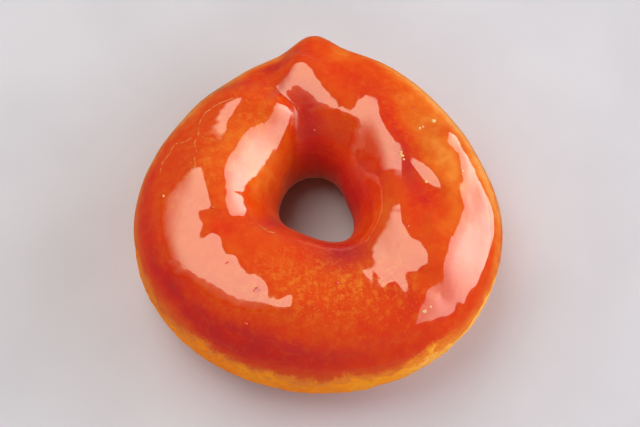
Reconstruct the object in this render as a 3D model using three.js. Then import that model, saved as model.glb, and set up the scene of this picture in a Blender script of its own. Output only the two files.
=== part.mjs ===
// A glazed ring doughnut of chewy dough, closed by hand from one rope whose ends lap over each other at the
// rear. The lap leaves a lip across the top, a valley down into the hole and a small peak on the rim.
// Millimetres, +Z up. The doughnut lies flat with its join at the rear, +Y, and its front towards -Y.
import * as THREE from "three";

const DEG = Math.PI / 180;

// The ring, measured every 30 degrees counter-clockwise from +X. Values between are blended smoothly.
const OUTER_RADIUS = [42.7, 37.8, 40.3, 43.8, 39.0, 39.0, 43.6, 46.1, 45.4, 45.1, 46.0, 45.5];
const HOLE_RADIUS = [7.0, 6.5, 8.1, 11.7, 10.7, 9.2, 9.8, 10.0, 9.0, 9.6, 12.0, 9.1];
const CREST_RADIUS = [26.6, 25.0, 22.9, 21.8, 22.8, 24.6, 25.6, 26.8, 27.8, 28.5, 29.0, 28.1];
const CREST_HEIGHT = [27.3, 26.5, 26.5, 27.1, 28.5, 29.8, 31.5, 32.0, 31.5, 30.3, 29.0, 28.4];
// How much fuller than an ellipse the section's outer and inner shoulders are. Below zero they are leaner.
const OUTER_FULLNESS = [0.42, 0.38, 0.28, 0.2, 0.14, 0.18, 0.3, 0.32, 0.11, 0, 0.1, 0.3];
const INNER_FULLNESS = [0.15, -0.01, -0.17, -0.22, -0.27, -0.4, -0.25, -0.02, 0.2, 0.24, 0.11, 0.15];
const EQUATOR_HEIGHT = 14;
// The underside is an ellipse this many times deeper than the equator is high, cut flat at the table.
const UNDERSIDE_DEPTH = 1.1;

// The small peak that the upper rope end leaves on the rear rim.
const PEAK = { clock: 92.3, spread: 7.6, height: 4.1 };

// Hand-shaped swells, and hollows where the height is negative: centre, direction of the long axis in degrees,
// reach along and across it, and height. They and the join fade out just below the equator.
const SWELLS = {
  rightRidge: { x: 14.8, y: 17.2, turn: -78, along: 7.6, across: 4.6, height: 1.79 },
  rightDip: { x: 21.5, y: 14.6, turn: -34, along: 14.0, across: 3.5, height: -0.72 },
  rightSwell: { x: 28.7, y: 13.3, turn: -52, along: 3.0, across: 3.9, height: 1.22 },
  rightRipple: { x: 24.0, y: 11.1, turn: -21, along: 7.0, across: 2.9, height: 1.1 },
  rightLowRipple: { x: 26.6, y: 2.7, turn: -46, along: 4.6, across: 2.2, height: 0.89 },
  rightShoulder: { x: 36.7, y: -1.7, turn: 87, along: 12.8, across: 3.7, height: -0.97 },
  frontRightSwell: { x: 26.4, y: -18.0, turn: 73, along: 8.2, across: 5.9, height: 2.36 },
  holeCornerRidge: { x: 17.7, y: -6.1, turn: -87, along: 14.0, across: 5.0, height: 2.4 },
  holeCornerSwell: { x: 12.5, y: -13.0, turn: -7, along: 3.0, across: 4.6, height: 0.63 },
  frontLeftSwell: { x: -14.3, y: -24.3, turn: -36, along: 12.7, across: 2.8, height: 0.15 },
  leftRidge: { x: -24.8, y: -1.1, turn: 63, along: 15.2, across: 7.5, height: 1.89 },
  leftFlat: { x: -27.3, y: 13.8, turn: 61, along: 8.0, across: 6.5, height: -0.35 },
  leftShoulder: { x: -23.4, y: 16.9, turn: 33, along: 10.5, across: 5.5, height: 1.25 },
  leftRearSwell: { x: -18.9, y: 22.4, turn: 1, along: 8.5, across: 4.4, height: 1.44 },
  joinPit: { x: -11.3, y: 33.6, turn: 68, along: 5.9, across: 2.6, height: -1.08 },
  lipSwell: { x: -2.4, y: 30.3, turn: -45, along: 9.1, across: 2.6, height: 1.1 },
};
// Sines of the section angles where the relief starts and is full.
const RELIEF_START = -0.5;
const RELIEF_FULL = 0.35;

// The join's line on the plan: straight along Y beside the hole, then bending left as it nears the rim.
// It fades out towards the rim, and between its near and far spans round the clock.
const JOIN = {
  x: -5.0,
  bend: 5.3,
  bendStart: 18.9,
  bendEnd: 27.0,
  clock: 105,
  nearSpan: 35,
  farSpan: 62,
  rimFadeStart: 0.3,
  rimFadeEnd: 0.8,
};
// On the outer half the upper rope end lies on the lower one: a lip at the line, then a shelf that rises
// more slowly.
const LAP = {
  start: 15,
  full: 24,
  lipHeight: 0.6,
  lipStart: -0.4,
  lipEnd: 1.0,
  shelfHeight: 0.8,
  shelfStart: 1.0,
  shelfEnd: 6.0,
  fadeStart: 5,
  fade: 12,
};
const CREASE = { depth: 0.15, width: 1.0, bottomRadius: 0.35 };
// On the inner half the line is the bottom of a valley, steep on its left side.
const VALLEY = { full: 20, end: 33, depth: 2.2, rightReach: 6.7, leftReach: 2.3 };

// Mesh density: steps round the ring, over the top from one edge of the flat spot to the other, and under it.
const CLOCK_STEPS = 116;
const TOP_STEPS = 38;
const FLAT_STEPS = 2;
// Steps round the ring are this share closer together at the join than on average.
const JOIN_CROWDING = 0.5;

// Goes smoothly from 0 at start to 1 at end.
function ramp(start, end, value) {
  const t = THREE.MathUtils.clamp((value - start) / (end - start), 0, 1);
  return t * t * (3 - 2 * t);
}

function bell(distance, reach) {
  return Math.exp(-((distance / reach) ** 2));
}

// The signed angle from one clock position to another, the short way round.
function clockGap(angle, from) {
  const turn = 2 * Math.PI;
  return THREE.MathUtils.euclideanModulo(angle - from + Math.PI, turn) - Math.PI;
}

// Blends a list of values round the clock with a uniform cubic B-spline.
function roundTheClock(values, angle) {
  const count = values.length;
  const place = (THREE.MathUtils.euclideanModulo(angle, 2 * Math.PI) / (2 * Math.PI)) * count;
  const first = Math.floor(place);
  const t = place - first;
  const weights = [
    (1 - t) ** 3,
    3 * t ** 3 - 6 * t ** 2 + 4,
    -3 * t ** 3 + 3 * t ** 2 + 3 * t + 1,
    t ** 3,
  ];
  let sum = 0;
  weights.forEach((weight, i) => {
    sum += weight * values[(first + i - 1 + count) % count];
  });
  return sum / 6;
}

function swellHeight(x, y) {
  let height = 0;
  for (const swell of Object.values(SWELLS)) {
    const turn = swell.turn * DEG;
    const dx = x - swell.x;
    const dy = y - swell.y;
    const along = dx * Math.cos(turn) + dy * Math.sin(turn);
    const across = dy * Math.cos(turn) - dx * Math.sin(turn);
    height += swell.height * bell(along, swell.along) * bell(across, swell.across);
  }
  return height;
}

// Distance from the join's line on the plan, positive on the side of the upper rope end.
function joinDistance(x, y) {
  const t = THREE.MathUtils.clamp((y - JOIN.bendStart) / (JOIN.bendEnd - JOIN.bendStart), 0, 1);
  const lineX = JOIN.x - JOIN.bend * t * t * (3 - 2 * t);
  const slope = (-6 * JOIN.bend * t * (1 - t)) / (JOIN.bendEnd - JOIN.bendStart);
  return (x - lineX) / Math.hypot(1, slope);
}

// The lap, its crease and the valley into the hole. outward is 1 on the rim and -1 in the hole.
function joinHeight(x, y, outward) {
  const distance = joinDistance(x, y);
  const awayFromRim = 1 - ramp(JOIN.rimFadeStart, JOIN.rimFadeEnd, outward);
  const onOuterHalf = ramp(LAP.start, LAP.full, y) * awayFromRim;
  const onInnerHalf = 1 - ramp(VALLEY.full, VALLEY.end, y);
  const lip = LAP.lipHeight * ramp(LAP.lipStart, LAP.lipEnd, distance);
  const shelf = LAP.shelfHeight * ramp(LAP.shelfStart, LAP.shelfEnd, distance);
  const lap = onOuterHalf * (lip + shelf) * bell(Math.max(distance - LAP.fadeStart, 0), LAP.fade);
  const softDistance = Math.hypot(distance, CREASE.bottomRadius) - CREASE.bottomRadius;
  const crease = -CREASE.depth * Math.exp(-softDistance / CREASE.width) * awayFromRim;
  const reach = distance > 0 ? VALLEY.rightReach : VALLEY.leftReach;
  const valley = -VALLEY.depth * onInnerHalf * Math.exp(-softDistance / reach);
  return lap + crease + valley;
}

// A point of the skin at a clock angle and a section angle: 0 faces out, 90 degrees up, 180 the hole and
// 270 down.
function skinPoint(clock, section) {
  const peak = PEAK.height * bell(clockGap(clock, PEAK.clock * DEG), PEAK.spread * DEG);
  const outer = roundTheClock(OUTER_RADIUS, clock) + peak;
  const hole = roundTheClock(HOLE_RADIUS, clock);
  const crest = roundTheClock(CREST_RADIUS, clock);
  const outward = Math.cos(section);
  const upward = Math.sin(section);
  const faceOut = outward >= 0;
  const width = faceOut ? outer - crest : crest - hole;
  const fullness = roundTheClock(faceOut ? OUTER_FULLNESS : INNER_FULLNESS, clock);
  const rise = roundTheClock(CREST_HEIGHT, clock) - EQUATOR_HEIGHT;

  const radius = crest + width * outward;
  const top = EQUATOR_HEIGHT + rise * upward * (1 + fullness * outward ** 2);
  const underside = Math.max(0, EQUATOR_HEIGHT * (1 + UNDERSIDE_DEPTH * upward));
  const height = upward >= 0 ? top : underside;

  const x = radius * Math.cos(clock);
  const y = radius * Math.sin(clock);
  const gap = Math.abs(clockGap(clock, JOIN.clock * DEG));
  const nearJoin = 1 - ramp(JOIN.nearSpan * DEG, JOIN.farSpan * DEG, gap);
  const onTop = ramp(RELIEF_START, RELIEF_FULL, upward);
  const relief = onTop * (swellHeight(x, y) + nearJoin * joinHeight(x, y, outward));
  return new THREE.Vector3(
    x + relief * outward * Math.cos(clock),
    y + relief * outward * Math.sin(clock),
    height + relief * upward,
  );
}

// Section angles over the top between the flat spot's edges, then across the flat spot.
function sectionAngles() {
  const flatEdge = Math.asin(1 / UNDERSIDE_DEPTH);
  const over = Math.PI + 2 * flatEdge;
  const angles = [];
  for (let i = 0; i < TOP_STEPS; i += 1) {
    angles.push(-flatEdge + (over * i) / TOP_STEPS);
  }
  for (let i = 0; i < FLAT_STEPS; i += 1) {
    angles.push(-flatEdge + over + ((2 * Math.PI - over) * i) / FLAT_STEPS);
  }
  return angles;
}

// Clock angles, closer together at the join.
function clockAngles() {
  const angles = [];
  for (let i = 0; i < CLOCK_STEPS; i += 1) {
    const even = (2 * Math.PI * i) / CLOCK_STEPS;
    angles.push(even - JOIN_CROWDING * Math.sin(even - JOIN.clock * DEG));
  }
  return angles;
}

function ringGeometry() {
  const sections = sectionAngles();
  const clocks = clockAngles();
  const points = clocks.flatMap((clock) => sections.map((section) => skinPoint(clock, section)));
  const across = sections.length;
  const index = [];
  clocks.forEach((_, i) => {
    const next = (i + 1) % clocks.length;
    sections.forEach((__, j) => {
      const up = (j + 1) % across;
      const a = i * across + j;
      const b = next * across + j;
      const c = next * across + up;
      const d = i * across + up;
      index.push(a, b, c, a, c, d);
    });
  });
  const geometry = new THREE.BufferGeometry().setFromPoints(points);
  geometry.setIndex(index);
  geometry.computeBoundingBox();
  const box = geometry.boundingBox;
  geometry.translate(-(box.min.x + box.max.x) / 2, -(box.min.y + box.max.y) / 2, -box.min.z);
  geometry.computeVertexNormals();
  return geometry;
}

const glaze = new THREE.MeshStandardMaterial({ color: 0xe84a10, roughness: 0.12, metalness: 0 });

const doughnut = new THREE.Mesh(ringGeometry(), glaze);
doughnut.name = "doughnut";

const part = new THREE.Group();
part.add(doughnut);

export default part;
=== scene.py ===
import bpy
import numpy as np
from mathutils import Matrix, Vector


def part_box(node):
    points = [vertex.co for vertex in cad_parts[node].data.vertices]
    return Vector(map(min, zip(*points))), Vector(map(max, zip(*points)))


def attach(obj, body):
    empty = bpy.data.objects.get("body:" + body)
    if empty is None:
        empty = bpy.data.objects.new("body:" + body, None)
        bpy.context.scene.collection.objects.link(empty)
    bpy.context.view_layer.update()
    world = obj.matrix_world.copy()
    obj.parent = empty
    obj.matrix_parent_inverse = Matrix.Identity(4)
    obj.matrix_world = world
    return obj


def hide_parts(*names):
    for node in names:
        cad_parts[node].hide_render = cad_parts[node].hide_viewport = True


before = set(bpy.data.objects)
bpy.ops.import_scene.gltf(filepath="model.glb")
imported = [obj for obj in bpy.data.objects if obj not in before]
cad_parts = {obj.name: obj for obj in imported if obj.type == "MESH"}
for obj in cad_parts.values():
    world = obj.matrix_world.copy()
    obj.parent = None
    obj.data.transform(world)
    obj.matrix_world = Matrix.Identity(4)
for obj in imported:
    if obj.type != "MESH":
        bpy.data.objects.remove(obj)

# A glazed ring doughnut: fried dough, a glossy glaze with bubbles over its top and sides, and strands of
# sugar and crumbs on that. Shapes are worked out in millimetres round the ring's own centre, then placed in
# the CAD node's box.
#
# Every point of the ring has a clock angle, counter-clockwise from +X seen from above, and a section angle:
# 0 faces out, 90 degrees up, 180 the hole and 270 down.

MM = 0.001
DEG = np.pi / 180
NODE = "doughnut"
BODY = "root"

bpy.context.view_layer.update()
box_low, box_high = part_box(NODE)


# ---------------------------------------------------------------------------------------------------------
# The skin: the CAD solid's form on a much finer grid, with the lap and its crease a little rounder.

# The ring every 30 degrees counter-clockwise from +X. Fullness is how much fuller than an ellipse the outer
# and inner shoulders of the section are. A program fitted these lists, the peak, the swells, the join's line
# and the valley to the outline and highlights in the photograph, and they were then rounded.
OUTER_RADIUS = [42.7, 37.8, 40.3, 43.8, 39.0, 39.0, 43.6, 46.1, 45.4, 45.1, 46.0, 45.5]
HOLE_RADIUS = [7.0, 6.5, 8.1, 11.7, 10.7, 9.2, 9.8, 10.0, 9.0, 9.6, 12.0, 9.1]
CREST_RADIUS = [26.6, 25.0, 22.9, 21.8, 22.8, 24.6, 25.6, 26.8, 27.8, 28.5, 29.0, 28.1]
CREST_HEIGHT = [27.3, 26.5, 26.5, 27.1, 28.5, 29.8, 31.5, 32.0, 31.5, 30.3, 29.0, 28.4]
OUTER_FULLNESS = [0.42, 0.38, 0.28, 0.2, 0.14, 0.18, 0.3, 0.32, 0.11, 0, 0.1, 0.3]
INNER_FULLNESS = [0.15, -0.01, -0.17, -0.22, -0.27, -0.4, -0.25, -0.02, 0.2, 0.24, 0.11, 0.15]
EQUATOR_HEIGHT = 14
# The underside is an ellipse this many times deeper than the equator is high, cut flat at the floor.
UNDERSIDE_DEPTH = 1.1
# The small peak that the upper rope end leaves on the rear rim.
PEAK = dict(clock=92.3, spread=7.6, height=4.1)

# Swells and hollows of the dough: x, y, direction of the long axis in degrees, reach along and across,
# height.
SWELLS = {
    "right_ridge": (14.8, 17.2, -78, 7.6, 4.6, 1.79),
    "right_dip": (21.5, 14.6, -34, 14.0, 3.5, -0.72),
    "right_swell": (28.7, 13.3, -52, 3.0, 3.9, 1.22),
    "right_ripple": (24.0, 11.1, -21, 7.0, 2.9, 1.1),
    "right_low_ripple": (26.6, 2.7, -46, 4.6, 2.2, 0.89),
    "right_shoulder": (36.7, -1.7, 87, 12.8, 3.7, -0.97),
    "front_right_swell": (26.4, -18.0, 73, 8.2, 5.9, 2.36),
    "hole_corner_ridge": (17.7, -6.1, -87, 14.0, 5.0, 2.4),
    "hole_corner_swell": (12.5, -13.0, -7, 3.0, 4.6, 0.63),
    "front_left_swell": (-14.3, -24.3, -36, 12.7, 2.8, 0.15),
    "left_ridge": (-24.8, -1.1, 63, 15.2, 7.5, 1.89),
    "left_flat": (-27.3, 13.8, 61, 8.0, 6.5, -0.35),
    "left_shoulder": (-23.4, 16.9, 33, 10.5, 5.5, 1.25),
    "left_rear_swell": (-18.9, 22.4, 1, 8.5, 4.4, 1.44),
    "join_pit": (-11.3, 33.6, 68, 5.9, 2.6, -1.08),
    "lip_swell": (-2.4, 30.3, -45, 9.1, 2.6, 1.1),
}
# Sines of the section angles where the relief starts and is full.
RELIEF_START = -0.5
RELIEF_FULL = 0.35

# Finer swells and hollows that only the looks have, with the same order of numbers. The first 18 were fitted
# in the same way, with one of them then changed, and the last seven are given one by one.
FINE_SWELLS = {
    "left_middle": (-28.4, 1.7, -85, 3.9, 3.3, 0.8),
    "left_inner_hollow": (-16.3, -0.3, -42, 7.1, 4.4, -0.53),
    "left_inner_ridge": (-12.3, 4.5, 47, 14, 3, 0.73),
    "left_crease": (-20.2, -11.7, 41, 9.6, 1.8, -0.28),
    "left_corner_hollow": (-22.7, -11.9, -38, 8.1, 2, -0.39),
    "front_left_flank": (-30.3, -21.9, -55, 12.1, 4.6, 0.5),
    "front_left_ripple": (-20.6, -18.5, -58, 6.8, 1.9, 0.34),
    "front_left_dent": (-19.8, -19, 82, 2.9, 2.1, -0.34),
    "front_swell": (-11.8, -30.8, -85, 4.6, 3.5, 0.56),
    "front_end_swell": (-6, -31.6, 31, 3.6, 2.5, 0.75),
    "front_right_ripple": (15.3, -26.3, 5, 2.2, 1.6, 0.17),
    "right_front_ripple": (21.9, -26.9, -35, 7.7, 2, 0.24),
    "right_front_ridge": (25.2, -20.6, -53, 7, 2.3, 0.18),
    "right_flank_hollow": (36.4, -14.3, 73, 14, 2.4, -0.3),
    "rear_left_lump": (-10.9, 19.9, 14, 4.4, 2.6, 0.85),
    "rear_lip_ripple": (-6.3, 31.1, 80, 5, 2.3, 0.63),
    "valley_ripple": (1.1, 21.4, -27, 5.9, 1.7, 0.14),
    "rear_arm_ripple": (5.2, 18.1, 12, 14, 3.4, 0.29),
    "valley_blister": (5.2, 17.7, 10, 1.5, 0.9, 0.2),
    "left_knot": (-26.8, 8.2, 0, 2.4, 1.8, 0.12),
    "left_groove": (-19.2, -3.2, 12, 4.5, 0.8, -0.13),
    "right_end_hollow": (27.6, -27.8, 90, 4.5, 3.6, -0.5),
    "right_end_swell": (20.8, -29.4, 90, 3.2, 2.6, 0.25),
    "right_small_ridge": (25.4, -10.6, 90, 3.4, 1.6, 0.42),
    "front_tail_swell": (-1.0, -31.2, 90, 1.6, 2.0, 0.42),
}
FINE_START = 0.0
FINE_FULL = 0.4

# The join's line on the plan: straight along Y beside the hole, then bending left as it nears the rim. It
# fades out towards the rim, and between its near and far spans round the clock.
JOIN = dict(x=-5.0, bend=5.3, bend_start=18.9, bend_end=27.0, clock=105, near_span=35, far_span=62,
            rim_fade_start=0.3, rim_fade_end=0.8)
# On the outer half the upper rope end lies on the lower one: a lip at the line, then a shelf that rises
# more slowly.
LAP = dict(start=15, full=24, lip_height=0.6, lip_start=-0.9, lip_end=2.1,
           shelf_height=0.8, shelf_start=1.0, shelf_end=6.0, fade_start=5, fade=12)
CREASE = dict(depth=0.15, width=1.0, bottom_radius=0.9)
# On the inner half the line is the bottom of a valley, steep on its left side.
VALLEY = dict(full=20, end=33, depth=2.2, right_reach=6.7, left_reach=2.3)


def ramp(start, end, value):
    """Goes smoothly from 0 at start to 1 at end."""
    t = np.clip((value - start) / (end - start), 0, 1)
    return t * t * (3 - 2 * t)


def bell(distance, reach):
    return np.exp(-(distance / reach) ** 2)


def clock_gap(angle, start):
    """The signed angle from one clock position to another, the short way round."""
    return (angle - start + np.pi) % (2 * np.pi) - np.pi


def round_the_clock(values, angle):
    """Blends a list of values round the clock with a uniform cubic B-spline."""
    values = np.asarray(values, float)
    count = len(values)
    place = (angle % (2 * np.pi)) / (2 * np.pi) * count
    first = np.floor(place).astype(int)
    t = place - first
    weights = ((1 - t) ** 3, 3 * t**3 - 6 * t**2 + 4, -3 * t**3 + 3 * t**2 + 3 * t + 1, t**3)
    return sum(w * values[(first + i - 1) % count] for i, w in enumerate(weights)) / 6


def beside(clock, place, spread):
    """1 at a clock position in degrees, and falling off over the spread on both sides of it."""
    return bell(clock_gap(clock, place * DEG), spread * DEG)


def turned_degrees(section):
    """Section angles in degrees from -90 to 270, so that they run on through the rim."""
    return np.where(section > 1.5 * np.pi, section - 2 * np.pi, section) / DEG


def patch(x, y, spot):
    """A soft oval on the plan, 1 at its centre: spot is x, y, direction, reach along and across."""
    spot_x, spot_y, turn, reach_along, reach_across = spot
    dx, dy = x - spot_x, y - spot_y
    along = dx * np.cos(turn * DEG) + dy * np.sin(turn * DEG)
    across = dy * np.cos(turn * DEG) - dx * np.sin(turn * DEG)
    return bell(along, reach_along) * bell(across, reach_across)


def patches(x, y, spots):
    """The sum of named patches, each with its amount as the last number."""
    return sum(spot[-1] * patch(x, y, spot[:-1]) for spot in spots.values())


def patches_at(points, spots):
    return patches(points[..., 0], points[..., 1], spots)


def bands(clock, section, listed):
    """The sum of bands round the ring: centre and reach in section degrees, clock, spread and amount."""
    turned = turned_degrees(section)
    total = np.zeros_like(turned)
    for centre, reach, place, spread, amount in listed.values():
        total = total + amount * beside(clock, place, spread) * bell(turned - centre, reach)
    return total


def join_distance(x, y):
    """Distance from the join's line on the plan, positive on the side of the upper rope end."""
    t = np.clip((y - JOIN["bend_start"]) / (JOIN["bend_end"] - JOIN["bend_start"]), 0, 1)
    line_x = JOIN["x"] - JOIN["bend"] * t * t * (3 - 2 * t)
    slope = -6 * JOIN["bend"] * t * (1 - t) / (JOIN["bend_end"] - JOIN["bend_start"])
    return (x - line_x) / np.hypot(1, slope)


def join_height(x, y, outward):
    """The lap, its crease and the valley into the hole."""
    distance = join_distance(x, y)
    away_from_rim = 1 - ramp(JOIN["rim_fade_start"], JOIN["rim_fade_end"], outward)
    on_outer_half = ramp(LAP["start"], LAP["full"], y) * away_from_rim
    on_inner_half = 1 - ramp(VALLEY["full"], VALLEY["end"], y)
    lip = LAP["lip_height"] * ramp(LAP["lip_start"], LAP["lip_end"], distance)
    shelf = LAP["shelf_height"] * ramp(LAP["shelf_start"], LAP["shelf_end"], distance)
    lap = on_outer_half * (lip + shelf) * bell(np.maximum(distance - LAP["fade_start"], 0), LAP["fade"])
    soft_distance = np.hypot(distance, CREASE["bottom_radius"]) - CREASE["bottom_radius"]
    crease = -CREASE["depth"] * np.exp(-soft_distance / CREASE["width"]) * away_from_rim
    reach = np.where(distance > 0, VALLEY["right_reach"], VALLEY["left_reach"])
    valley = -VALLEY["depth"] * on_inner_half * np.exp(-soft_distance / reach)
    return lap + crease + valley


def skin(clock, section):
    """Points of the skin in mm."""
    peak = PEAK["height"] * beside(clock, PEAK["clock"], PEAK["spread"])
    outer = round_the_clock(OUTER_RADIUS, clock) + peak
    hole = round_the_clock(HOLE_RADIUS, clock)
    crest = round_the_clock(CREST_RADIUS, clock)
    outward, upward = np.cos(section), np.sin(section)
    face_out = outward >= 0
    width = np.where(face_out, outer - crest, crest - hole)
    outer_fullness = round_the_clock(OUTER_FULLNESS, clock)
    inner_fullness = round_the_clock(INNER_FULLNESS, clock)
    fullness = np.where(face_out, outer_fullness, inner_fullness)
    rise = round_the_clock(CREST_HEIGHT, clock) - EQUATOR_HEIGHT

    radius = crest + width * outward
    top = EQUATOR_HEIGHT + rise * upward * (1 + fullness * outward**2)
    underside = np.maximum(0, EQUATOR_HEIGHT * (1 + UNDERSIDE_DEPTH * upward))
    height = np.where(upward >= 0, top, underside)

    x, y = radius * np.cos(clock), radius * np.sin(clock)
    gap = np.abs(clock_gap(clock, JOIN["clock"] * DEG))
    near_join = 1 - ramp(JOIN["near_span"] * DEG, JOIN["far_span"] * DEG, gap)
    relief = patches(x, y, SWELLS) + near_join * join_height(x, y, outward)
    relief = relief * ramp(RELIEF_START, RELIEF_FULL, upward)
    return np.stack([
        x + relief * outward * np.cos(clock),
        y + relief * outward * np.sin(clock),
        height + relief * upward,
    ], -1)


def ring_normals(points):
    """Unit normals of a grid of points that closes both ways, facing out."""
    round_ring = np.roll(points, -1, 0) - np.roll(points, 1, 0)
    round_section = np.roll(points, -1, 1) - np.roll(points, 1, 1)
    normals = np.cross(round_ring, round_section)
    return normals / np.maximum(np.linalg.norm(normals, axis=-1, keepdims=True), 1e-9)


# Shortest and longest single wave, as shares of the length that is asked for.
WAVE_LENGTHS = (0.75, 1.35)


def waves(points, length, count, seed):
    """Smooth noise of about unit size: plane waves of about one length in mm, in random directions."""
    random = np.random.default_rng(seed)
    total = np.zeros(points.shape[:-1])
    for _ in range(count):
        direction = random.normal(size=3)
        direction *= 2 * np.pi / (np.linalg.norm(direction) * length * random.uniform(*WAVE_LENGTHS))
        total += np.sin(points @ direction + random.uniform(0, 2 * np.pi))
    return total / np.sqrt(count / 2)


def noise(points, layers):
    """The sum of layers of waves: their length, size, count and seed."""
    return sum(size * waves(points, length, count, seed) for length, size, count, seed in layers)


# ---------------------------------------------------------------------------------------------------------
# The grids. Clock steps crowd at the join, section steps where the piece shows.

JOIN_CROWDING = 0.35
FLAT_EDGE = np.arcsin(1 / UNDERSIDE_DEPTH) / DEG


def clock_steps(count):
    even = np.arange(count) * 2 * np.pi / count
    return even - JOIN_CROWDING * np.sin(even - JOIN["clock"] * DEG)


def section_steps(stretches):
    """Section angles from a list of (start, end, steps), in degrees, each stretch without its end."""
    return np.concatenate([np.linspace(a, b, n, endpoint=False) for a, b, n in stretches]) * DEG


def surface(clocks, sections):
    """The skin on a grid, with the finer swells: clock and section angles, points and normals."""
    clock, section = np.meshgrid(clocks, sections, indexing="ij")
    points = skin(clock, section)
    on_top = ramp(FINE_START, FINE_FULL, np.sin(section))
    fine = patches_at(points, FINE_SWELLS) * on_top
    points = points + ring_normals(points) * fine[..., None]
    return clock, section, points, ring_normals(points)


# The box of the skin, from a fine grid of its points, is centred on the CAD node's box.
sample_sections = section_steps([(-90, 270, 360)])
sample_points = skin(*np.meshgrid(clock_steps(720), sample_sections, indexing="ij"))
sample_low, sample_high = sample_points.min((0, 1)), sample_points.max((0, 1))
PLACE = (np.array(box_low + box_high) / MM - sample_low - sample_high) / 2
PLACE[2] = box_low[2] / MM


def ring_mesh(name, points, attributes):
    """A closed mesh from a grid of points in mm that closes both ways, with values on its vertices."""
    rows, columns = points.shape[:2]
    index = np.arange(rows * columns).reshape(rows, columns)
    ahead, above = np.roll(index, -1, 0), np.roll(index, -1, 1)
    corner = np.roll(ahead, -1, 1)
    quads = np.stack([index, ahead, corner, above], -1).reshape(-1, 4)
    mesh = bpy.data.meshes.new(name)
    mesh.vertices.add(rows * columns)
    mesh.vertices.foreach_set("co", ((points + PLACE) * MM).astype(np.float32).ravel())
    mesh.loops.add(quads.size)
    mesh.loops.foreach_set("vertex_index", quads.astype(np.int32).ravel())
    mesh.polygons.add(len(quads))
    mesh.polygons.foreach_set("loop_start", np.arange(0, quads.size, 4, dtype=np.int32))
    mesh.polygons.foreach_set("use_smooth", np.ones(len(quads), bool))
    mesh.update(calc_edges=True)
    for key, values in attributes.items():
        layer = mesh.attributes.new(key, "FLOAT", "POINT")
        layer.data.foreach_set("value", values.astype(np.float32).ravel())
    mesh.validate()
    return mesh


def add_piece(name, mesh):
    piece = bpy.data.objects.new(name, mesh)
    bpy.context.scene.collection.objects.link(piece)
    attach(piece, BODY)
    return piece


# ---------------------------------------------------------------------------------------------------------
# Where the glaze lies.

# Section angle of the glaze's lower edge on the outside and in the hole, every 30 degrees from +X, and how
# many mm a turn of one radian is there.
OUTER_EDGE = [-10, -8, -6, -12, -6, -4, 0, 8, 7, 6, 11, 2]
HOLE_EDGE = [204, 210, 214, 216, 212, 204, 196, 190, 190, 190, 192, 198]
OUTER_SCALE = 16
HOLE_SCALE = 14
EDGE_WANDER = [(13, 0.7, 14, 41), (5, 0.5, 14, 42), (1.6, 0.3, 14, 43)]


def inside_glaze(clock, section, points):
    """Distance in mm from the glaze's edge, positive where it is glazed."""
    turned = turned_degrees(section)
    from_rim = (turned - round_the_clock(OUTER_EDGE, clock)) * DEG * OUTER_SCALE
    from_hole = (round_the_clock(HOLE_EDGE, clock) - turned) * DEG * HOLE_SCALE
    return np.minimum(from_rim, from_hole) + noise(points, EDGE_WANDER)


# Pits in the glaze: x, y, radius, depth. They look redder by this much for each mm of depth.
PITS = {
    "front_left": (-14, -28.3, 0.6, 0.3),
    "front_left_small": (-20.1, -21.8, 0.45, 0.22),
    "rear_arm_a": (17.8, 25.1, 0.35, 0.08),
    "rear_arm_b": (18.9, 23.4, 0.35, 0.08),
    "rear_arm_c": (22, 20.8, 0.35, 0.08),
    "front_right": (18.3, -36.7, 0.45, 0.08),
    "corner": (17.2, -16.9, 0.4, 0.12),
    "right_end": (27.1, -27.6, 0.35, 0.15),
}
PIT_REDNESS = 2


def pits(points):
    """Depth in mm of the pits."""
    x, y = points[..., 0], points[..., 1]
    depth = 0
    for pit_x, pit_y, radius, deepest in PITS.values():
        depth = depth + deepest * bell(np.hypot(x - pit_x, y - pit_y), radius)
    return depth * (points[..., 2] > EQUATOR_HEIGHT)


# Where the glaze is thicker and redder (above 0) or thinner and paler (below 0), on the plan:
# x, y, direction, reach along and across, amount. A program fitted 18 of them and POOL_BASE to the
# colours in the photograph, and they were then adjusted.
POOLS = {
    "valley": (-2, 15, 113, 10, 3.4, 0.44),
    "hole_right_wall": (10, 2, 98, 8, 5.5, 0.22),
    "hole_front": (4, -17, 14, 5, 3, 0.4),
    "right_ridge": (17, 15, -65, 9, 2.3, 0.35),
    "right_crease": (20, 4, -70, 5, 3, 0.24),
    "right_pool": (24, -4, 0, 4, 3.6, 0.32),
    "right_rim": (25, 17, -53, 13, 5, -0.3),
    "right_arm": (29, 4, -60, 9, 4, -0.36),
    "right_flank": (30, -10, 75, 5, 2.2, -0.25),
    "rear_arm": (5.5, 36, -25, 4, 3.2, -0.34),
    "peak": (-4, 38, 90, 3.5, 3, 0.2),
    "peak_left": (-9, 36.5, 40, 2.5, 1.2, -0.35),
    "left_flank": (-33, 4, 80, 5, 3, 0.14),
    "hole_left": (-13, 5, 70, 8, 2.6, -0.3),
    "hole_right": (14.5, -8, 80, 7, 2.0, -0.2),
    "rear_right": (8, 30, -28, 8, 4.7, 0.2),
    "rear_left": (-16, 27, 31, 9, 4, 0.12),
    "join_hollow": (-11.5, 33.5, 20, 3.5, 1.8, 0.35),
    "left_arm": (-20, 8, 50, 14, 6, -0.2),
    "left_corner": (-21, -13, 22, 3, 2.2, 0.28),
    "front_middle": (1, -24, 0, 3, 4, -0.12),
    "front_right": (18, -31, 27, 12, 6, 0.14),
    "front_left_band": (-19, -38, -7, 13, 3, 0.34),
    "front_spot": (-7.3, -40, 10, 2.4, 1.1, 0.25),
    "left_band": (-34, -24, -39, 8, 1.8, 0.15),
}
POOL_BASE = 0.57
POOL_BANDS = {
    "front_band": (34, 15, 235, 62, 0.4),
    "hole_wall": (180, 36, 30, 70, 0.36),
}
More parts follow.
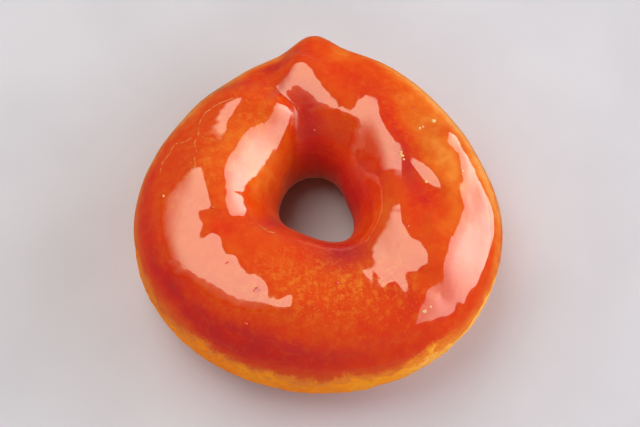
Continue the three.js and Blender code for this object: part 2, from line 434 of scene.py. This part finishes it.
# Sines of the section angles between which the pools fade in.
POOL_FADE = (-0.3, 0.3)
POOL_NOISE = [(9, 0.02, 16, 51), (3, 0.015, 16, 52)]

# Towards the rim the glaze thins out to gold. Every 30 degrees: the section angles where that starts and
# where it is complete, and the pooling there.
THIN_START = [52, 65, 60, 32, 60, 64, 36, 34, 34, 34, 24, 24]
THIN_FULL = [30, 38, 30, 6, 36, 38, 12, 8, 2, 2, 6, 2]
THIN_POOL = [0.0, -0.05, 0.0, 0.3, 0.04, 0.02, 0.1, 0.1, 0.18, 0.16, 0.12, 0.12]
# Further down, between these section angles, it gathers again to this pooling.
LOW_SECTIONS = (32, 8)
LOW_POOL = 0.26


def pooling(clock, section, points):
    """How deep the glaze looks: 0 where it is thinnest and golden, 1 where it is deep red."""
    pool = POOL_BASE + patches_at(points, POOLS) * ramp(*POOL_FADE, np.sin(section))
    pool = pool + bands(clock, section, POOL_BANDS)
    turned = turned_degrees(section)
    thin = 1 - ramp(round_the_clock(THIN_FULL, clock), round_the_clock(THIN_START, clock), turned)
    thin_pool = round_the_clock(THIN_POOL, clock)
    thin_pool = thin_pool + (LOW_POOL - thin_pool) * ramp(*LOW_SECTIONS, turned)
    pool = pool + thin * (thin_pool - pool)
    return pool + noise(points, POOL_NOISE) + PIT_REDNESS * pits(points)


# Painted shade in the hole's corners, creases and hollows: x, y, direction, reach along and across, amount.
PAINTED_SHADE = {
    "hole_front_right": (5.5, -18, 15, 6, 4, 0.55),
    "hole_front": (-3, -13.2, -12, 9, 2.6, 0.4),
    "hole_left_corner": (-10.5, -8.8, 50, 3.5, 2.6, 0.55),
    "right_crease": (20.5, 3, -80, 6, 1.8, 0.4),
    "join_hollow": (-11.5, 33, 30, 4, 2, 0.35),
    "crease": (-9.5, 25.5, 60, 4, 1.2, 0.4),
    "valley": (-3, 20.5, 100, 5, 3, 0.34),
    "valley_mouth": (0, 14, 0, 6, 4, 0.1),
}
# Bands of painted shade: low on the front-left flank, which faces away from the lights, and on the hole's
# wall.
PAINTED_SHADE_BANDS = {
    "front_left_band": (38, 11, 225, 55, 0.31),
    "hole_wall": (166, 28, 15, 62, 0.32),
}
# The painted shade bands break up into streaks, shorter up and down than along the ring.
STREAKS = [(9, 0.35, 14, 54)]
STREAK_STRETCH = (1, 1, 3.5)


def painted_shade_share(clock, section, points):
    """How much painted shade takes the glaze's colour towards PAINTED_SHADE_COLOUR, from 0 to 1."""
    streaks = 1 + noise(points * STREAK_STRETCH, STREAKS)
    painted_shade = patches_at(points, PAINTED_SHADE) + streaks * bands(clock, section, PAINTED_SHADE_BANDS)
    return np.clip(painted_shade, 0, 1)


# The glaze loses its gloss towards the rim and inside the hole: section angles from dull to glossy. On one
# side the gloss reaches further down, by this many degrees.
DULL_RIM = (14, 46)
DULL_HOLE = (160, 122)
GLOSSY_SIDE = dict(clock=340, spread=45, lower=14)
DULL_SPOTS = {
    "crease": (-9.9, 25, 60, 5, 0.9, 0.9),
    "crease_end": (-5.4, 18.6, 85, 3.4, 0.9, 0.85),
}


def glossy_side(clock):
    """How many section degrees further down the gloss reaches."""
    return GLOSSY_SIDE["lower"] * beside(clock, GLOSSY_SIDE["clock"], GLOSSY_SIDE["spread"])


def dullness(clock, section, points):
    """From 0 where the glaze is glossy to 1 where it is dull."""
    turned = turned_degrees(section)
    glossy = ramp(*DULL_RIM, turned + glossy_side(clock)) * ramp(*DULL_HOLE, turned)
    spots = np.clip(patches_at(points, DULL_SPOTS), 0, 1)
    return 1 - glossy * (1 - spots)


# Where pale grains of the crust show through the glaze: x, y, direction, reach along and across, amount.
GRAINY = {
    "front": (3, -26, 0, 17, 8, 0.85),
    "left": (-20, 10, 60, 18, 7, 0.45),
    "right": (26, 14, -60, 16, 7, 0.35),
}
GRAIN_BASE = 0.12


def graininess(points):
    """How much of the crust's pale grain shows through the glaze."""
    return GRAIN_BASE + patches_at(points, GRAINY)


# ---------------------------------------------------------------------------------------------------------
# Materials.

def linear(red, green, blue):
    """A display colour of 0 to 255 as the linear colour that shaders take."""
    values = np.array([red, green, blue]) / 255
    mixed = np.where(values <= 0.04045, values / 12.92, ((values + 0.055) / 1.055) ** 2.4)
    return (*mixed.tolist(), 1.0)


class Nodes:
    """Short calls for building a material's node tree."""

    def __init__(self, name):
        self.material = bpy.data.materials.new(name)
        self.material.use_nodes = True
        self.tree = self.material.node_tree
        self.shader = self.tree.nodes["Principled BSDF"]
        self.place = self.tree.nodes.new("ShaderNodeTexCoord").outputs["Object"]

    def link(self, source, target):
        self.tree.links.new(source, target)

    def noise(self, size_mm, detail=2.0, roughness=0.5):
        """Noise from 0 to 1 with features of about that size."""
        node = self.tree.nodes.new("ShaderNodeTexNoise")
        node.inputs["Scale"].default_value = 1 / (size_mm * MM)
        node.inputs["Detail"].default_value = detail
        node.inputs["Roughness"].default_value = roughness
        self.link(self.place, node.inputs["Vector"])
        return node.outputs["Fac"]

    def spots(self, size_mm, low=0.0, high=1.0):
        """Soft spots of about that size, with values from low to high."""
        return self.spread(self.noise(size_mm), 0.3, 0.7, low, high)

    def value(self, attribute):
        """The value that the mesh has on its vertices under that name."""
        node = self.tree.nodes.new("ShaderNodeAttribute")
        node.attribute_name = attribute
        return node.outputs["Fac"]

    def math(self, operation, a, b):
        node = self.tree.nodes.new("ShaderNodeMath")
        node.operation = operation
        for socket, item in zip(node.inputs, (a, b)):
            if isinstance(item, (int, float)):
                socket.default_value = item
            else:
                self.link(item, socket)
        return node.outputs[0]

    def spread(self, source, low, high, to_low=0.0, to_high=1.0):
        """Takes values between low and high smoothly to values between to_low and to_high."""
        node = self.tree.nodes.new("ShaderNodeMapRange")
        node.interpolation_type = "SMOOTHSTEP"
        values = dict(zip(("From Min", "From Max", "To Min", "To Max"), (low, high, to_low, to_high)))
        for key, number in values.items():
            node.inputs[key].default_value = number
        self.link(source, node.inputs["Value"])
        return node.outputs["Result"]

    def ramp(self, source, stops):
        """Colours by position, from (position, colour) pairs."""
        node = self.tree.nodes.new("ShaderNodeValToRGB")
        elements = node.color_ramp.elements
        while len(elements) < len(stops):
            elements.new(0.5)
        for element, (position, colour) in zip(elements, stops):
            element.position = position
            element.color = colour
        self.link(source, node.inputs["Fac"])
        return node.outputs["Color"]

    def mix(self, share, a, b):
        node = self.tree.nodes.new("ShaderNodeMix")
        node.data_type = "RGBA"
        for key, item in {"Factor": share, "A": a, "B": b}.items():
            if isinstance(item, (int, float, tuple)):
                node.inputs[key].default_value = item
            else:
                self.link(item, node.inputs[key])
        return node.outputs["Result"]

    def bump(self, height, distance_mm, strength=1.0):
        node = self.tree.nodes.new("ShaderNodeBump")
        node.inputs["Strength"].default_value = strength
        node.inputs["Distance"].default_value = distance_mm * MM
        self.link(height, node.inputs["Height"])
        return node.outputs["Normal"]


# Colours of the glaze by how deep it looks, of the pale grain and specks in it, of the painted shade in its
# hollows and the hole, and of the crumbly edge where it ends.
GLAZE_COLOURS = [
    (0.0, (0.86, 0.29, 0.075, 1)),
    (0.15, (0.82, 0.19, 0.026, 1)),
    (0.3, (0.76, 0.112, 0.008, 1)),
    (0.5, (0.72, 0.060, 0.003, 1)),
    (0.75, (0.70, 0.031, 0.003, 1)),
    (1.0, (0.62, 0.014, 0.008, 1)),
]
PALE_GRAIN = (0.78, 0.16, 0.015, 1)
PALE_SPECKS = (0.78, 0.2, 0.04, 1)
PAINTED_SHADE_COLOUR = (0.36, 0.012, 0.03, 1)
GLAZE_END = (0.9, 0.22, 0.012, 1)
# Over how many mm inside its edge the glaze takes on its own colour.
GLAZE_END_WIDTH = 3.4
GLOSSY_ROUGHNESS = 0.07
DULL_ROUGHNESS = 0.42


def glaze_material(name, ior):
    """Sugar glaze: golden where thin, orange-red on top, deep red where it pools, with pale grain."""
    n = Nodes(name)
    clouds = n.spread(n.noise(3.0, 3.0), 0.3, 0.7, -0.08, 0.08)
    pool = n.math("ADD", n.value("pool"), clouds)
    colour = n.ramp(pool, GLAZE_COLOURS)
    grain = n.value("grain")
    patchy = n.spread(n.noise(1.7, 4.0, 0.62), 0.48, 0.68)
    colour = n.mix(n.math("MULTIPLY", patchy, grain), colour, PALE_GRAIN)
    specks = n.math("MULTIPLY", n.spread(n.noise(0.45, 2.0), 0.56, 0.7, 0.0, 0.6), grain)
    colour = n.mix(specks, colour, PALE_SPECKS)
    # Painted shade: the colour goes towards a shaded dark red in the hole, its creases and hollows.
    colour = n.mix(n.value("painted_shade"), colour, PAINTED_SHADE_COLOUR)
    crumbly = n.math("ADD", n.value("inside"), n.spread(n.noise(0.6, 3.0, 0.6), 0.3, 0.7, 1.0, -1.0))
    colour = n.mix(n.spread(crumbly, 0.0, GLAZE_END_WIDTH, 1.0, 0.0), colour, GLAZE_END)
    n.link(colour, n.shader.inputs["Base Color"])
    roughness = n.spread(n.value("dull"), 0.0, 1.0, GLOSSY_ROUGHNESS, DULL_ROUGHNESS)
    n.link(roughness, n.shader.inputs["Roughness"])
    n.link(n.bump(n.noise(0.9, 2.0), 0.004), n.shader.inputs["Normal"])
    n.shader.inputs["IOR"].default_value = ior
    return n.material


# Colours of the crust from its palest to its brownest, and of its fine grain.
CRUST_COLOURS = [
    (0.0, (0.94, 0.41, 0.10, 1)),
    (0.3, (0.97, 0.3, 0.01, 1)),
    (0.65, (0.98, 0.2, 0.002, 1)),
    (1.0, (0.6, 0.09, 0.003, 1)),
]
CRUST_GRAIN = (0.97, 0.36, 0.03, 1)


def crust_material():
    """Fried crust: golden, matt and finely grained, with browner freckles."""
    n = Nodes("crust")
    grain = n.noise(0.5, 3.0, 0.65)
    freckles = n.noise(1.8, 3.0, 0.6)
    tone = n.math("ADD", n.value("brown"), n.spread(freckles, 0.35, 0.7, -0.1, 0.12))
    colour = n.ramp(tone, CRUST_COLOURS)
    colour = n.mix(n.spread(grain, 0.46, 0.64, 0.0, 0.45), colour, CRUST_GRAIN)
    n.link(colour, n.shader.inputs["Base Color"])
    n.link(n.spread(freckles, 0.3, 0.7, 0.55, 0.72), n.shader.inputs["Roughness"])
    n.link(n.bump(grain, 0.14), n.shader.inputs["Normal"])
    n.shader.inputs["Specular IOR Level"].default_value = 0.12
    return n.material


# Two colours each, which blend in soft spots.
CRUMB_COLOURS = ((0.9, 0.42, 0.16, 1), (0.95, 0.62, 0.34, 1))
STRAND_COLOURS = ((0.66, 0.10, 0.009, 1), (0.68, 0.16, 0.025, 1))
FLOOR_COLOURS = (linear(205, 194, 218), linear(210, 199, 223))


def crumb_material():
    """Pale crumbs with a thin coat of glaze."""
    n = Nodes("crumb")
    n.link(n.mix(n.spots(0.3), *CRUMB_COLOURS), n.shader.inputs["Base Color"])
    n.link(n.spots(0.3, 0.3, 0.5), n.shader.inputs["Roughness"])
    return n.material


def strand_material():
    """Strands of sugar, paler than the glaze."""
    n = Nodes("strand")
    n.link(n.mix(n.spots(0.6), *STRAND_COLOURS), n.shader.inputs["Base Color"])
    n.link(n.spots(0.6, 0.15, 0.3), n.shader.inputs["Roughness"])
    return n.material


def floor_material():
    """A plain pale floor, with large spots that hardly show."""
    n = Nodes("floor")
    n.link(n.mix(n.spots(30.0), *FLOOR_COLOURS), n.shader.inputs["Base Color"])
    n.shader.inputs["Roughness"].default_value = 0.8
    return n.material


# The glaze from the glossiest part to the rim, with the index of refraction that sets its mirror shine.
GLAZE_STEPS = {"glaze": 1.8, "glaze_shoulder": 1.62, "glaze_flank": 1.47, "glaze_rim": 1.35}

GLAZES = [glaze_material(name, ior) for name, ior in GLAZE_STEPS.items()]
CRUST = crust_material()
CRUMB = crumb_material()
STRAND = strand_material()


# ---------------------------------------------------------------------------------------------------------
# The fried dough. It lies just inside the skin, with its crust's relief where it isn't glazed.

# How deep it lies under the outermost skin, in mm: where it is bare and under the full glaze.
DOUGH_DEPTH = 0.22
COVERED_DEPTH = 0.7
# Over how many mm inside the glaze's edge it goes from bare to covered, and the relief that is left there.
COVER_WIDTH = 5.0
COVERED_RELIEF = 0.25

# Section angles with the number of steps between them: the sides fine, what the glaze hides coarse.
DOUGH_SECTIONS = [(-FLAT_EDGE, -40, 10), (-40, 34, 62), (34, 196, 18), (196, 226, 14),
                  (226, 180 + FLAT_EDGE, 5), (180 + FLAT_EDGE, 360 - FLAT_EDGE, 3)]
DOUGH_CLOCK_STEPS = 780
WRINKLES = [(4.5, 0.07, 18, 11), (1.7, 0.05, 24, 12), (0.8, 0.035, 30, 13)]
# Sines of the section angles between which the flat underside ends.
FLAT_FADE = (-1 / UNDERSIDE_DEPTH, -0.7)

# How brown the crust is, how much paler it is round its equator, how much painted light makes it paler on
# its right-front side, and how much browner it is at the rear.
BROWN = 0.72
PALE_BAND = dict(section=4, reach=16, amount=0.16)
PAINTED_LIGHT_SIDE = dict(clock=330, spread=45, amount=0.5)
BROWN_REAR = dict(fade=(-0.2, 0.5), amount=0.14)
BROWN_NOISE = [(12, 0.07, 12, 14)]


def browning(clock, section, points):
    """From 0 where the crust is pale to 1 where it is brown; one side is paler as painted light."""
    pale_band = bell(turned_degrees(section) - PALE_BAND["section"], PALE_BAND["reach"])
    # Painted light: the right-front side is paler, as where the light falls on it.
    painted_light_side = beside(clock, PAINTED_LIGHT_SIDE["clock"], PAINTED_LIGHT_SIDE["spread"])
    rear = ramp(*BROWN_REAR["fade"], np.sin(clock))
    paler = PALE_BAND["amount"] * pale_band + PAINTED_LIGHT_SIDE["amount"] * painted_light_side
    return BROWN - paler + BROWN_REAR["amount"] * rear + noise(points, BROWN_NOISE)


def make_dough():
    clock, section, points, normals = surface(clock_steps(DOUGH_CLOCK_STEPS), section_steps(DOUGH_SECTIONS))
    bare = 1 - ramp(0.0, COVER_WIDTH, inside_glaze(clock, section, points))
    off_the_flat = ramp(*FLAT_FADE, np.sin(section))
    relief = noise(points, WRINKLES) * (COVERED_RELIEF + (1 - COVERED_RELIEF) * bare)
    depth = DOUGH_DEPTH + (COVERED_DEPTH - DOUGH_DEPTH) * (1 - bare)
    points = points + normals * ((relief - depth) * off_the_flat)[..., None]
    points[..., 2] = np.maximum(points[..., 2], 0)
    mesh = ring_mesh("dough", points, {"brown": browning(clock, section, points)})
    mesh.materials.append(CRUST)
    return mesh


dough = add_piece("dough", make_dough())
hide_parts(NODE)


# ---------------------------------------------------------------------------------------------------------
# The glaze. Past its feathered edge it dives into the dough, so its own thickness draws the edge.

GLAZE_SECTIONS = [(-26, 215, 138), (215, 334, 8)]
GLAZE_CLOCK_STEPS = 600
RIPPLES = [(7, 0.018, 16, 21), (3.2, 0.008, 16, 22), (1.7, 0.004, 16, 23)]

# Over how many mm on both sides of its edge the glaze thins out, and how deep under the skin it is then.
GLAZE_FEATHER = 3.6
EDGE_DEPTH = 2 * DOUGH_DEPTH
# How much deeper its hidden part dives, over which distances beyond the edge, and the glaze's least height
# above the floor.
GLAZE_DIVE = 1.0
DIVE_FADE = (0.5, 5)
GLAZE_LOWEST = 0.65

# Below each of these section angles on the outside, which lie RIM_RISE degrees higher at the rear, and past
# each of these angles in the hole, the glaze takes the next duller material.
RIM_TOPS = (52, 44, 36)
RIM_RISE = 12
RIM_HOLES = (138, 146, 154)


def gloss_steps(clock, section):
    """Which of the glaze materials each face takes."""
    turned = turned_degrees(section)
    rise = RIM_RISE * np.sin(clock) - glossy_side(clock)
    steps = [(turned < top + rise) | (turned > hole) for top, hole in zip(RIM_TOPS, RIM_HOLES)]
    return np.sum(steps, 0).astype(np.int32)


def make_glaze():
    clock, section, points, normals = surface(clock_steps(GLAZE_CLOCK_STEPS), section_steps(GLAZE_SECTIONS))
    inside = inside_glaze(clock, section, points)
    edge = ramp(-GLAZE_FEATHER, GLAZE_FEATHER, inside)
    height = -EDGE_DEPTH * (1 - edge) - GLAZE_DIVE * ramp(*DIVE_FADE, -inside)
    height = height + noise(points, RIPPLES) * edge - pits(points)
    points = points + normals * height[..., None]
    points[..., 2] = np.maximum(points[..., 2], GLAZE_LOWEST)
    mesh = ring_mesh("glaze", points, {
        "pool": pooling(clock, section, points),
        "inside": inside,
        "grain": graininess(points),
        # Painted shade in the hole, the creases and hollows, and low on the front-left flank.
        "painted_shade": painted_shade_share(clock, section, points),
        "dull": dullness(clock, section, points),
    })
    for material in GLAZES:
        mesh.materials.append(material)
    mesh.polygons.foreach_set("material_index", gloss_steps(clock, section).ravel())
    return mesh


add_piece("glaze", make_glaze())


# ---------------------------------------------------------------------------------------------------------
# Bubbles in the glaze and crumbs on it: x, y and radius.

BUBBLES = [(-24.2, -8.8, 0.36), (-16, -35.3, 0.5), (-1.3, 16.2, 0.42), (3.7, -25.7, 0.4),
           (19.7, -12, 0.36), (17.9, 24.2, 0.26), (19.5, 23.6, 0.26), (22.2, 20.6, 0.24),
           (13.5, -24.4, 0.26), (-8.4, 38.2, 0.3)]
CRUMBS = [(26.7, 17.4, 0.6), (23.5, 15.2, 0.34), (24.1, 15.8, 0.26), (19.1, 7.4, 0.55),
          (18.7, 8.4, 0.4), (19.6, 6.5, 0.3), (-35.5, -4.5, 0.38), (23.5, -31.2, 0.5),
          (24.4, -30.6, 0.3), (24.3, 0.6, 0.42), (33.1, 4.0, 0.22)]
# The look of a bubble, in the values that the glaze has on its vertices.
BUBBLE_LOOK = {"pool": 0.72, "inside": 9.0, "grain": 0.0, "painted_shade": 0.0, "dull": 0.0}
# Points of a lump round it and up it, and the grid on which its place is looked up: clock steps, and section
# angles with their steps.
LUMP_ROUND = 14
LUMP_UP = 7
LUMP_GRID = (360, (20, 175, 155))
# Bumps of a lump: their length for a lump of radius 1, their count, and how far they are thrown about.
LUMP_BUMPS = dict(length=1.4, count=8, throw=9)


def top_surface(clocks, sections):
    """Points and normals of the upper skin in two lists, for finding where small things lie."""
    _, _, points, normals = surface(clock_steps(clocks), section_steps([sections]))
    return points.reshape(-1, 3), normals.reshape(-1, 3)


def nearest_point(points, x, y):
    return np.argmin(np.hypot(points[:, 0] - x, points[:, 1] - y))


def unit_ball():
    """A ball of radius 1 as LUMP_ROUND columns of LUMP_UP points, then its two poles."""
    turns = np.arange(LUMP_ROUND) * 2 * np.pi / LUMP_ROUND
    rises = np.linspace(-np.pi / 2, np.pi / 2, LUMP_UP + 2)[1:-1]
    turn, rise = np.meshgrid(turns, rises, indexing="ij")
    ball = np.stack([np.cos(rise) * np.cos(turn), np.cos(rise) * np.sin(turn), np.sin(rise)], -1)
    return np.vstack([ball.reshape(-1, 3), (0, 0, -1), (0, 0, 1)])


def ball_faces(first, count):
    """Faces of one ball whose points start at this index."""
    faces = []
    for i in range(LUMP_ROUND):
        ahead = (i + 1) % LUMP_ROUND
        here, there = first + i * LUMP_UP, first + ahead * LUMP_UP
        faces += [(here + j, there + j, there + j + 1, here + j + 1) for j in range(LUMP_UP - 1)]
        faces.append((first + count - 2, there, here))
        faces.append((here + LUMP_UP - 1, there + LUMP_UP - 1, first + count - 1))
    return faces


def make_lumps(name, spots, material, look, sink, roughness, seed):
    """Small uneven balls on the skin, each sunk by a share of its radius."""
    points, normals = top_surface(*LUMP_GRID)
    random = np.random.default_rng(seed)
    ball = unit_ball()
    corners, faces = [], []
    for x, y, radius in spots:
        thrown = ball + random.uniform(-LUMP_BUMPS["throw"], LUMP_BUMPS["throw"], 3)
        bumps = waves(thrown, LUMP_BUMPS["length"], LUMP_BUMPS["count"], seed)
        nearest = nearest_point(points, x, y)
        centre = points[nearest] - normals[nearest] * radius * sink
        faces += ball_faces(len(corners) * len(ball), len(ball))
        corners.append(centre + ball * (1 + roughness * bumps[:, None]) * radius)
    mesh = bpy.data.meshes.new(name)
    mesh.from_pydata(((np.vstack(corners) + PLACE) * MM).tolist(), [], faces)
    mesh.polygons.foreach_set("use_smooth", np.ones(len(faces), bool))
    for key, value in look.items():
        layer = mesh.attributes.new(key, "FLOAT", "POINT")
        layer.data.foreach_set("value", np.full(len(mesh.vertices), value, np.float32))
    mesh.materials.append(material)
    return mesh


# ---------------------------------------------------------------------------------------------------------
# Thin strands of pale sugar that lie on the glaze: points on the plan.

STRANDS = [
    [(-28.0, -0.1), (-28.8, 5.0), (-28.5, 10.5), (-27.8, 15.5), (-26.7, 17.8), (-23.2, 20.0),
     (-18.6, 21.2)],
    [(-37.4, 1.7), (-35.9, 6.0), (-33.7, 9.4), (-31.0, 10.2), (-28.6, 10.6)],
    [(-28.5, 10.6), (-26.4, 10.6), (-24.7, 9.3), (-22.5, 9.5)],
    [(-14.5, -11.3), (-11.6, -12.6), (-8.9, -13.2)],
]
STRAND_RADIUS = 0.2
STRAND_SINK = 0.11
STRAND_STEP = 0.35
STRAND_SIDES = 6
STRAND_GRID = (720, (40, 160, 120))
# A strand tapers over this many mm at its ends down to this share of its radius.
TAPER = 2
TAPER_END = 0.2
# It wanders sideways by about so many mm, and its radius varies by this share.
STRAND_WANDER = ([(4, 0.22, 8, 81)], [(4, 0.22, 8, 82)])
STRAND_UNEVEN = [(1.5, 0.25, 8, 83)]
SMOOTHING = 5


def strand_line(line, points, normals):
    """The middle line of a strand, the normals of the skin under it and its radius along it."""
    line = np.array(line)
    lengths = np.concatenate([[0], np.cumsum(np.hypot(*np.diff(line, axis=0).T))])
    along = np.linspace(0, lengths[-1], int(lengths[-1] / STRAND_STEP))
    plan = np.stack([np.interp(along, lengths, line[:, i]) for i in (0, 1)], -1)
    flat = np.insert(plan, 2, 0, axis=1)
    plan = plan + np.stack([noise(flat, layers) for layers in STRAND_WANDER], -1)
    nearest = [nearest_point(points, x, y) for x, y in plan]
    middle = points[nearest]
    middle[:, :2] = plan
    padded = np.pad(middle[:, 2], SMOOTHING // 2, "edge")
    middle[:, 2] = np.convolve(padded, np.ones(SMOOTHING) / SMOOTHING, "valid") - STRAND_SINK
    taper = np.clip(np.minimum(along, along[-1] - along) / TAPER, TAPER_END, 1)
    radius = STRAND_RADIUS * taper * (1 + noise(flat, STRAND_UNEVEN))
    return middle, normals[nearest], radius


def tube_faces(first, steps):
    """Faces of one tube with closed ends, whose points start at this index."""
    faces = []
    for i in range(steps - 1):
        here = first + i * STRAND_SIDES
        for j in range(STRAND_SIDES):
            k = (j + 1) % STRAND_SIDES
            faces.append((here + j, here + STRAND_SIDES + j, here + STRAND_SIDES + k, here + k))
    last = first + (steps - 1) * STRAND_SIDES
    faces.append(tuple(first + j for j in range(STRAND_SIDES)))
    faces.append(tuple(last + j for j in reversed(range(STRAND_SIDES))))
    return faces


def make_strands(name, material):
    """Thin tubes along the strands' lines, half sunk, thinning out at their ends."""
    points, normals = top_surface(*STRAND_GRID)
    angles = np.arange(STRAND_SIDES)[None, :, None] * 2 * np.pi / STRAND_SIDES
    corners, faces = [], []
    for line in STRANDS:
        middle, up, radius = strand_line(line, points, normals)
        side = np.cross(np.gradient(middle, axis=0), up)
        side /= np.linalg.norm(side, axis=1, keepdims=True)
        round_it = np.cos(angles) * side[:, None] + np.sin(angles) * up[:, None]
        faces += tube_faces(sum(len(c) for c in corners), len(middle))
        corners.append((middle[:, None] + radius[:, None, None] * round_it).reshape(-1, 3))
    mesh = bpy.data.meshes.new(name)
    mesh.from_pydata(((np.vstack(corners) + PLACE) * MM).tolist(), [], faces)
    mesh.polygons.foreach_set("use_smooth", np.ones(len(faces), bool))
    mesh.materials.append(material)
    return mesh


bubbles = make_lumps("glaze_bubbles", BUBBLES, GLAZES[0], BUBBLE_LOOK, sink=0.45, roughness=0.03, seed=71)
add_piece("glaze_bubbles", bubbles)
add_piece("sugar_strands", make_strands("sugar_strands", STRAND))
crumbs = make_lumps("crumbs", CRUMBS, CRUMB, {}, sink=0.35, roughness=0.16, seed=72)
add_piece("crumbs", crumbs)


# ---------------------------------------------------------------------------------------------------------
# Floor, soft panels, sky and camera.

RING_CENTRE = Vector((PLACE[0], PLACE[1], 0)) * MM
FLOOR_SIZE = 6.0

# Each panel is a patch of a large sphere: the directions whose stereographic x and y, seen from straight
# above, lie between these limits. Its brightness rises from each side over the width in fade (left, right,
# bottom, top), from its dim share to full. The left and right panel started from the fit of the skin and
# were then changed. The fills only soften the shade: the glaze doesn't mirror them.
PANEL_DISTANCE = 3.0
PANEL_STEPS = 24
WARM = (0.86, 0.93, 0.71, 1)
DAYLIGHT = (0.88, 1.0, 0.88, 1)
EVEN = (0, 0, 0, 0)
PANELS = {
    "left_panel": dict(x=(-0.64, -0.005), y=(-0.085, 0.41), power=3.5, colour=WARM,
                       fade=(0.46, 0, 0, 0.05), dim=0.0),
    "right_panel": dict(x=(0.40, 1.05), y=(-0.40, 0.57), power=5.0, colour=DAYLIGHT,
                        fade=(0.3, 0, 0.6, 0), dim=0.5),
    "left_glow": dict(x=(-0.8, -0.02), y=(-0.22, -0.087), power=0.6, colour=WARM,
                      fade=(0.2, 0.1, 0.13, 0), dim=0.0),
    "left_fill": dict(x=(-0.95, -0.45), y=(-0.15, 0.5), power=2.0, colour=WARM),
    "front_fill": dict(x=(-0.2, 0.45), y=(-0.9, -0.45), power=2.2, colour=DAYLIGHT),
    "rear_fill": dict(x=(-0.5, 0.2), y=(0.5, 0.95), power=1.4, colour=WARM),
}
FILLS = ("left_fill", "front_fill", "rear_fill")

SKY_COLOUR = (0.95, 0.88, 0.66, 1)
SKY_STRENGTH = 0.14


def make_floor():
    """A square floor. The glaze doesn't mirror it."""
    half = FLOOR_SIZE / 2
    corners = [(-half, -half, 0), (half, -half, 0), (half, half, 0), (-half, half, 0)]
    mesh = bpy.data.meshes.new("floor")
    mesh.from_pydata(corners, [], [(0, 1, 2, 3)])
    mesh.materials.append(floor_material())
    floor = bpy.data.objects.new("floor", mesh)
    floor.visible_glossy = False
    bpy.context.scene.collection.objects.link(floor)


def brightness(across, along, x, y, fade, dim):
    """Share of a panel's power over its surface."""
    from_sides = (across - x[0], x[1] - across, along - y[0], y[1] - along)
    share = np.ones_like(across)
    for distance, width in zip(from_sides, fade):
        if width:
            share = share * (dim + (1 - dim) * ramp(0, width, distance))
    return share


def panel_material(name, power, colour):
    """Light of this power and colour, times the share on the panel's vertices."""
    material = bpy.data.materials.new(name)
    material.use_nodes = True
    tree = material.node_tree
    tree.nodes.clear()
    share = tree.nodes.new("ShaderNodeAttribute")
    share.attribute_name = "share"
    strength = tree.nodes.new("ShaderNodeMath")
    strength.operation = "MULTIPLY"
    strength.inputs[1].default_value = power
    emission = tree.nodes.new("ShaderNodeEmission")
    emission.inputs["Color"].default_value = colour
    output = tree.nodes.new("ShaderNodeOutputMaterial")
    tree.links.new(share.outputs["Fac"], strength.inputs[0])
    tree.links.new(strength.outputs[0], emission.inputs["Strength"])
    tree.links.new(emission.outputs[0], output.inputs["Surface"])
    return material


def make_panel(name, x, y, power, colour, fade=EVEN, dim=1.0):
    columns, rows = np.linspace(*x, PANEL_STEPS), np.linspace(*y, PANEL_STEPS)
    across, along = np.meshgrid(columns, rows, indexing="ij")
    squared = across**2 + along**2
    directions = np.stack([2 * across, 2 * along, 1 - squared], -1) / (1 + squared)[..., None]
    index = np.arange(PANEL_STEPS**2).reshape(PANEL_STEPS, PANEL_STEPS)
    quads = np.stack([index[:-1, :-1], index[:-1, 1:], index[1:, 1:], index[1:, :-1]], -1).reshape(-1, 4)
    mesh = bpy.data.meshes.new(name)
    mesh.from_pydata((directions.reshape(-1, 3) * PANEL_DISTANCE).tolist(), [], quads.tolist())
    share = brightness(across, along, x, y, fade, dim)
    layer = mesh.attributes.new("share", "FLOAT", "POINT")
    layer.data.foreach_set("value", share.astype(np.float32).ravel())
    mesh.materials.append(panel_material(name, power, colour))
    panel = bpy.data.objects.new(name, mesh)
    panel.location = RING_CENTRE
    panel.visible_camera = False
    panel.visible_glossy = name not in FILLS
    bpy.context.scene.collection.objects.link(panel)


def make_sky():
    world = bpy.data.worlds.new("sky")
    world.use_nodes = True
    background = world.node_tree.nodes["Background"]
    background.inputs["Color"].default_value = SKY_COLOUR
    background.inputs["Strength"].default_value = SKY_STRENGTH
    bpy.context.scene.world = world


# The tilt was fitted to the photograph, and the distance and the focal length follow from its perspective
# and the scale. The focal length and the sensor's width are in mm.
CAMERA = dict(tilt=64 * DEG, distance=412 * MM, target_height=12 * MM, focal=97.4, sensor=36, near=0.01)


def make_camera():
    data = bpy.data.cameras.new("camera")
    data.lens = CAMERA["focal"]
    data.sensor_width = CAMERA["sensor"]
    data.clip_start = CAMERA["near"]
    camera = bpy.data.objects.new("camera", data)
    target = RING_CENTRE + Vector((0, 0, CAMERA["target_height"]))
    back = Vector((0, -np.cos(CAMERA["tilt"]), np.sin(CAMERA["tilt"])))
    camera.location = target + back * CAMERA["distance"]
    camera.rotation_mode = "QUATERNION"
    camera.rotation_quaternion = (-back).to_track_quat("-Z", "Y")
    bpy.context.scene.collection.objects.link(camera)
    bpy.context.scene.camera = camera


make_floor()
for panel_name, panel in PANELS.items():
    make_panel(panel_name, **panel)
make_sky()
make_camera()
bpy.context.scene.view_settings.view_transform = "Standard"
